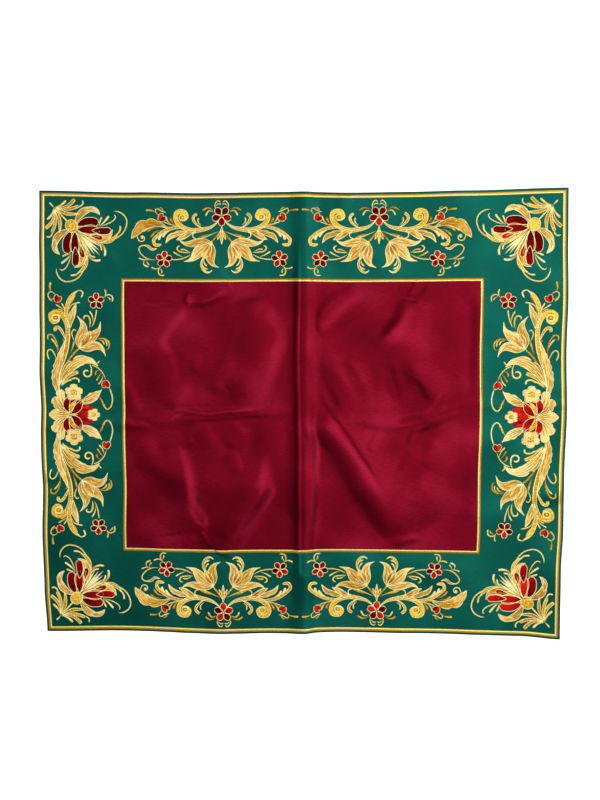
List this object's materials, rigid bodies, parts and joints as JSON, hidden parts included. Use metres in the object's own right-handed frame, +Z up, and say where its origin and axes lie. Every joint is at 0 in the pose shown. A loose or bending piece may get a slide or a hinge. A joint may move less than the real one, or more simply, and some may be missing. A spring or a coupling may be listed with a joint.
{
  "type": "iliton, an embroidered liturgical cloth",
  "caption": "Rectangular satin altar cloth laid open: green ground cloth, wine red centre panel, gold braid round the panel and round the edge, soft fold creases.",
  "frame": {"origin": "on the surface that the cloth lies on, under the middle of the cloth", "axes": "+X along the cloth's longer side, to the right as the cloth is looked at; +Y towards its upper edge; +Z up from the surface"},
  "size_m": [0.709, 0.6027, 0.0099],
  "materials": {
    "green_satin": "satin weave, soft sheen",
    "wine_satin": "satin weave, soft sheen",
    "gold_braid": "plaited metallic yarn"
  },
  "bodies": {
    "root": {"ground_cloth": "green_satin", "centre_panel": "wine_satin", "outer_braid": "gold_braid", "inner_braid": "gold_braid"}
  },
  "joints": []
}
